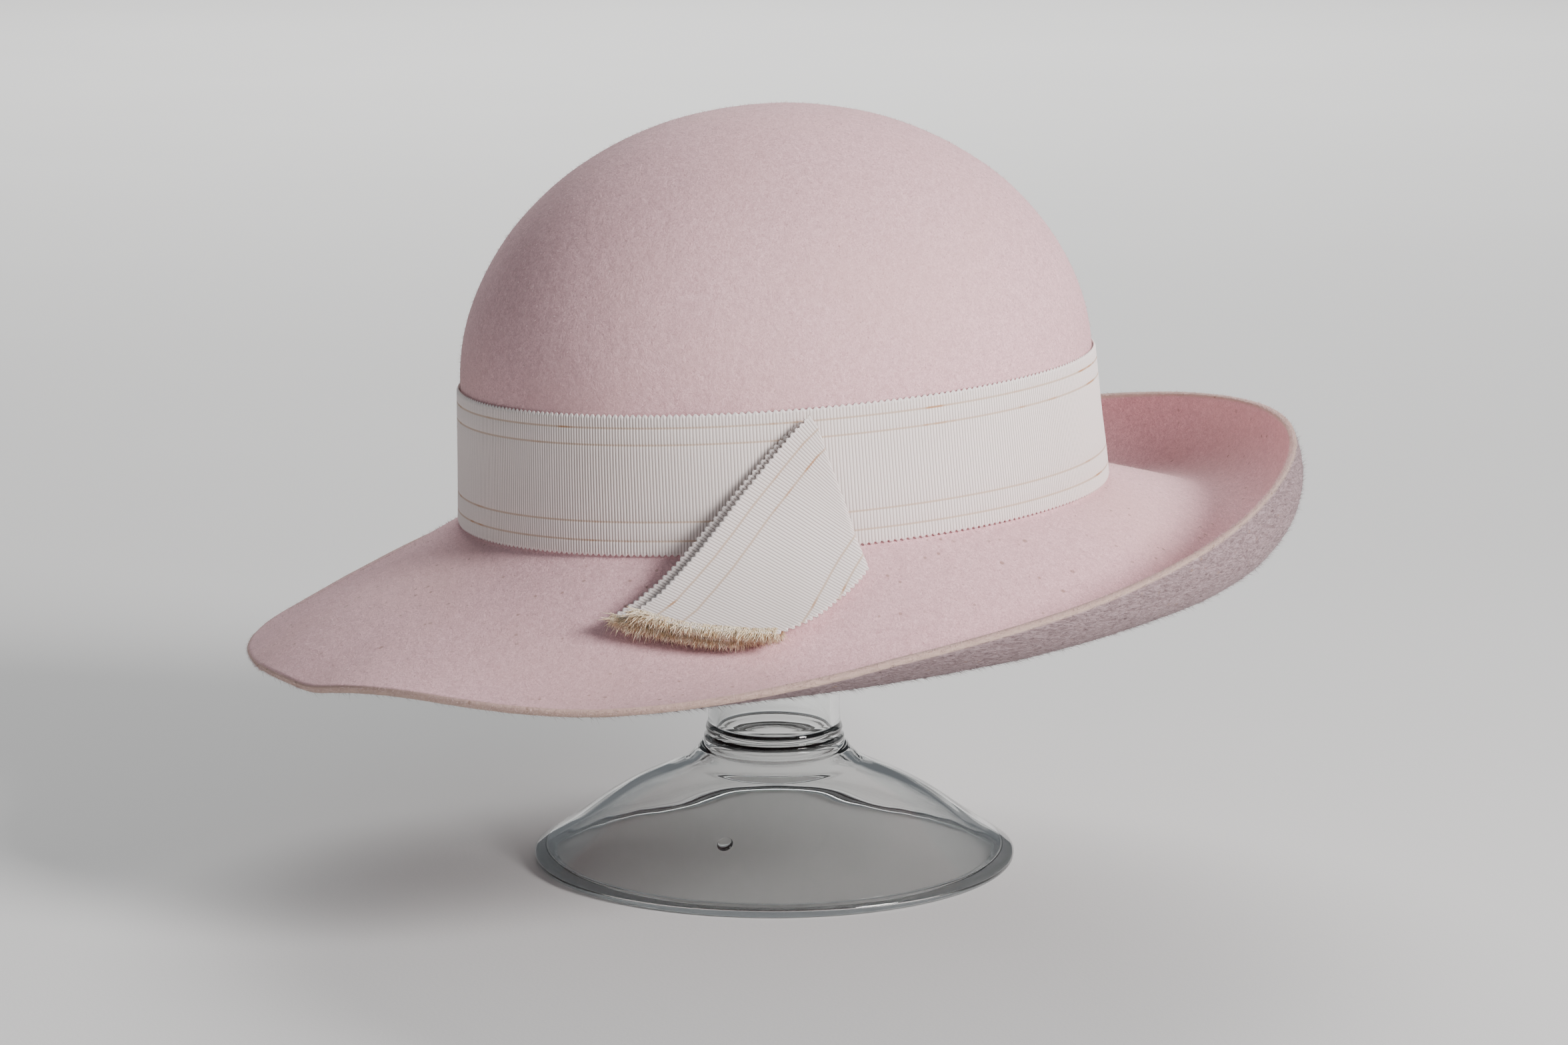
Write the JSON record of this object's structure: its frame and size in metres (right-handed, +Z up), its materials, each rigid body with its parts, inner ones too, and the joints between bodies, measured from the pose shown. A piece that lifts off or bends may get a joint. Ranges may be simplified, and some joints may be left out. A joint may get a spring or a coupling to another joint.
{
  "type": "cloche hat on a clear glass stand",
  "caption": "Felt cloche hat with a domed crown, a brim turned up at the back, a grosgrain ribbon band and short ribbon tails, on a clear glass stand.",
  "frame": {"origin": "on the floor, under the middle of the whole part's bounding box", "axes": "+Z up, -Y to the wearer's front, +X to the wearer's left, where the ribbon tails hang"},
  "size_m": [0.3064, 0.3206, 0.2293],
  "materials": {
    "pink_felt": "matt brushed wool felt",
    "ivory_ribbon": "ribbed grosgrain",
    "clear_glass": "clear blown glass"
  },
  "bodies": {
    "root": {"felt_hat": "pink_felt", "ribbon_band": "ivory_ribbon", "ribbon_tail_over": "ivory_ribbon", "ribbon_tail_under": "ivory_ribbon", "glass_stand": "clear_glass"}
  },
  "joints": []
}
